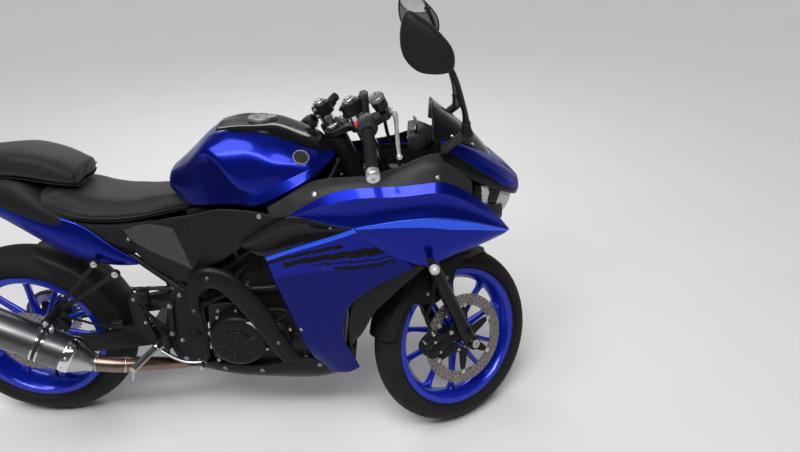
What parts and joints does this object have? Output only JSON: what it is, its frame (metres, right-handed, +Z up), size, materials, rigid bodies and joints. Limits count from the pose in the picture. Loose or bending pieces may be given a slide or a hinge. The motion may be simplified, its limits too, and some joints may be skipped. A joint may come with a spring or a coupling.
{
  "type": "sport motorcycle",
  "caption": "Faired sport motorcycle leaning on its side stand, with turning wheels, steering, folding stand and hinged filler cap.",
  "frame": {"origin": "centre of the bounding box's base, on the ground plane", "axes": "+X forward, +Y to the rider's left, +Z up; the bike leans towards +Y on its side stand with the bars at the left stop"},
  "size_m": [2.0478, 0.6914, 1.3874],
  "materials": {
    "black_plastic": "satin",
    "black_rubber": "matte",
    "blue_paint": "deep metallic gloss",
    "blue_panel": "deep metallic gloss",
    "blue_rim": "gloss painted",
    "bright_steel": "plated",
    "cast_black": "satin black",
    "cast_grey": "satin",
    "chain_steel": "oiled",
    "disc_steel": "machined",
    "engine_black": "satin black",
    "fork_black": "satin black",
    "frame_black": "satin black",
    "gloss_black": "gloss",
    "grey_plastic": "textured",
    "hose_rubber": "satin",
    "lamp_black": "gloss",
    "lamp_lens": "clear lens on black stalk",
    "muffler_steel": "dark brushed",
    "pipe_bronze": "heat-tinted",
    "radiator_black": "matte black",
    "red_lens": "lens",
    "seat_vinyl": "grained vinyl",
    "smoked_screen": "smoked clear",
    "tyre": "matte"
  },
  "bodies": {
    "chassis": {"frame": "frame_black", "front_stay": "frame_black", "engine": "engine_black", "engine_covers": "engine_black", "swingarm": "frame_black", "axle_bolts": "bright_steel", "engine_guards": "black_plastic", "rear_caliper": "cast_black", "rear_hugger": "black_plastic", "chain": "chain_steel", "rear_shock": "chain_steel", "radiator": "radiator_black", "fuel_tank": "blue_paint", "tank_cover": "gloss_black", "rider_seat": "seat_vinyl", "pillion_seat": "seat_vinyl", "tail_core": "black_plastic", "tail_cowl": "blue_panel", "tail_light": "red_lens", "plate_holder": "black_plastic", "side_covers": "grey_plastic", "upper_fairings": "blue_panel", "lower_fairings": "blue_panel", "mid_panels": "gloss_black", "belly_pan": "black_plastic", "inner_panels": "grey_plastic", "nose_cowl": "blue_panel", "headlights": "lamp_black", "windscreen": "smoked_screen", "instrument": "black_plastic", "mirrors": "black_plastic", "turn_signals": "lamp_lens", "exhaust_pipe": "pipe_bronze", "muffler": "muffler_steel", "muffler_bracket": "frame_black", "rearsets": "cast_grey", "panel_stays": "frame_black"},
    "front_wheel": {"front_tyre": "tyre", "front_rim": "blue_rim", "front_brake_disc": "disc_steel"},
    "rear_wheel": {"rear_tyre": "tyre", "rear_rim": "blue_rim", "rear_brake_disc": "disc_steel", "rear_sprocket": "disc_steel"},
    "steering": {"fork_legs": "fork_black", "triple_clamps": "cast_grey", "front_axle": "bright_steel", "front_fender": "black_plastic", "front_caliper": "cast_black", "brake_hose": "hose_rubber", "clip_on_bars": "cast_black", "grips": "black_rubber", "hand_controls": "black_plastic", "levers": "cast_grey"},
    "side_stand": {"side_stand": "frame_black"},
    "fuel_cap": {"fuel_cap": "bright_steel"}
  },
  "joints": [
    {"name": "rear_wheel_spin", "type": "hinge", "parent": "chassis", "child": "rear_wheel", "pos_m": [-0.60811, -0.07374, 0.31484], "axis": [-0.0006, 0.9925, -0.1219], "continuous": true},
    {"name": "steering_turn", "type": "hinge", "parent": "chassis", "child": "steering", "pos_m": [0.7375, -0.07824, 0.27157], "axis": [-0.4182, 0.1105, 0.9016], "range_deg": [-70, 0]},
    {"name": "front_wheel_spin", "type": "hinge", "parent": "steering", "child": "front_wheel", "pos_m": [0.76557, -0.05517, 0.28176], "axis": [-0.5215, 0.7835, -0.3379], "continuous": true},
    {"name": "side_stand_fold", "type": "hinge", "parent": "chassis", "child": "side_stand", "pos_m": [-0.06064, 0.05202, 0.20402], "axis": [0.1935, 0.8438, 0.5005], "range_deg": [0, 103.73]},
    {"name": "fuel_cap_open", "type": "hinge", "parent": "chassis", "child": "fuel_cap", "pos_m": [0.23343, 0.01514, 1.03459], "axis": [-0.0006, 0.9925, -0.1219], "range_deg": [0, 95]}
  ]
}
